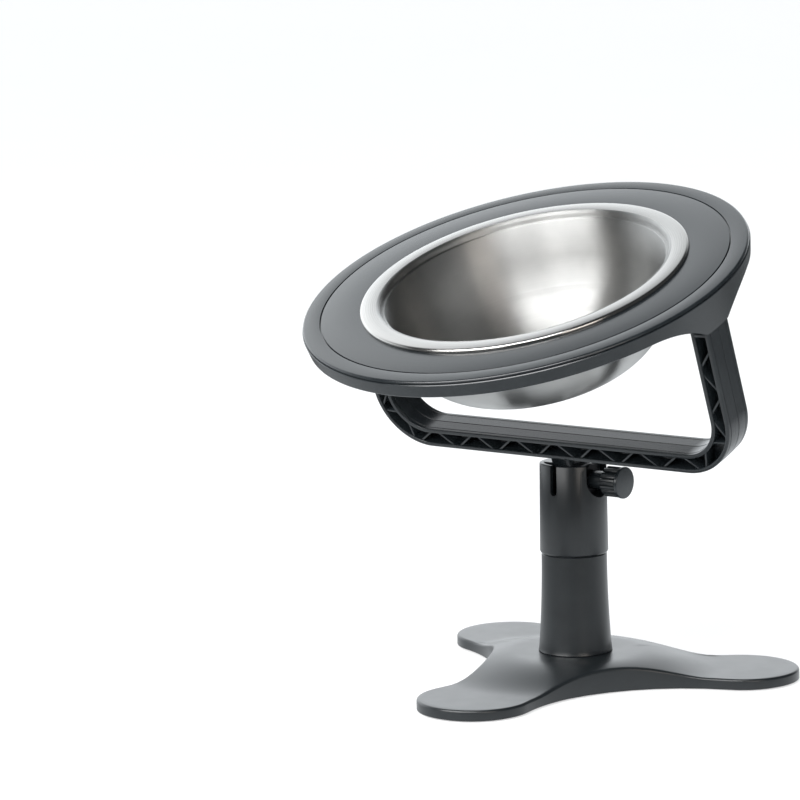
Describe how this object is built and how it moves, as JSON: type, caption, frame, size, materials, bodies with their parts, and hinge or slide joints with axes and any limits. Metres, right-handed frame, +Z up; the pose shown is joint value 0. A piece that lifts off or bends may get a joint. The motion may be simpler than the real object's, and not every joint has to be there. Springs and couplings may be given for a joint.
{
  "type": "dog feeder stand",
  "caption": "Raised dog feeder: lobed foot, column with a clamped tilt hinge, ribbed U-shaped yoke with a round tray, and a lift-out steel bowl.",
  "frame": {"origin": "on the floor, on the column's axis", "axes": "+X along the tilt axis towards the knob, -Y towards the dog, +Z up"},
  "size_m": [0.272, 0.2593, 0.298],
  "materials": {
    "charcoal_plastic": "fine satin grain",
    "stainless": "brushed inside, polished rim",
    "zinc_steel": "zinc plated",
    "black_steel": "black oxide",
    "brass": "machined",
    "rubber": "matt"
  },
  "bodies": {
    "stand": {"base_foot": "charcoal_plastic", "grip_ring": "rubber", "column_tube": "charcoal_plastic", "clamp_head": "charcoal_plastic", "tie_bolt": "zinc_steel", "tie_washer": "zinc_steel", "tie_nut": "zinc_steel", "hinge_bolt": "black_steel"},
    "washer": {"clamp_washer": "black_steel"},
    "knob": {"knob_grip": "charcoal_plastic", "knob_insert": "brass", "knob_cap": "charcoal_plastic"},
    "carrier": {"yoke_frame": "charcoal_plastic", "tray_plate": "charcoal_plastic", "tray_screws": "zinc_steel"},
    "dish": {"bowl": "stainless"}
  },
  "joints": [
    {"name": "tilt", "type": "hinge", "parent": "stand", "child": "carrier", "pos_m": [0, 0, 0.124], "axis": [1, 0, 0], "range_deg": [-20.2, 7.5]},
    {"name": "washer_slide", "type": "slide", "parent": "stand", "child": "washer", "axis": [1, 0, 0], "range_m": [0, 0.003]},
    {"name": "knob_turn", "type": "hinge", "parent": "washer", "child": "knob", "pos_m": [0.026, 0, 0.124], "axis": [1, 0, 0], "range_deg": [0, 1080]},
    {"name": "bowl_lift", "type": "slide", "parent": "carrier", "child": "dish", "axis": [0, -0.3453, 0.9385], "range_m": [0, 0.12]}
  ],
  "couplings": [
    {"joint": "washer_slide", "follows": "knob_turn", "m_per_rad": 0.00015915}
  ]
}
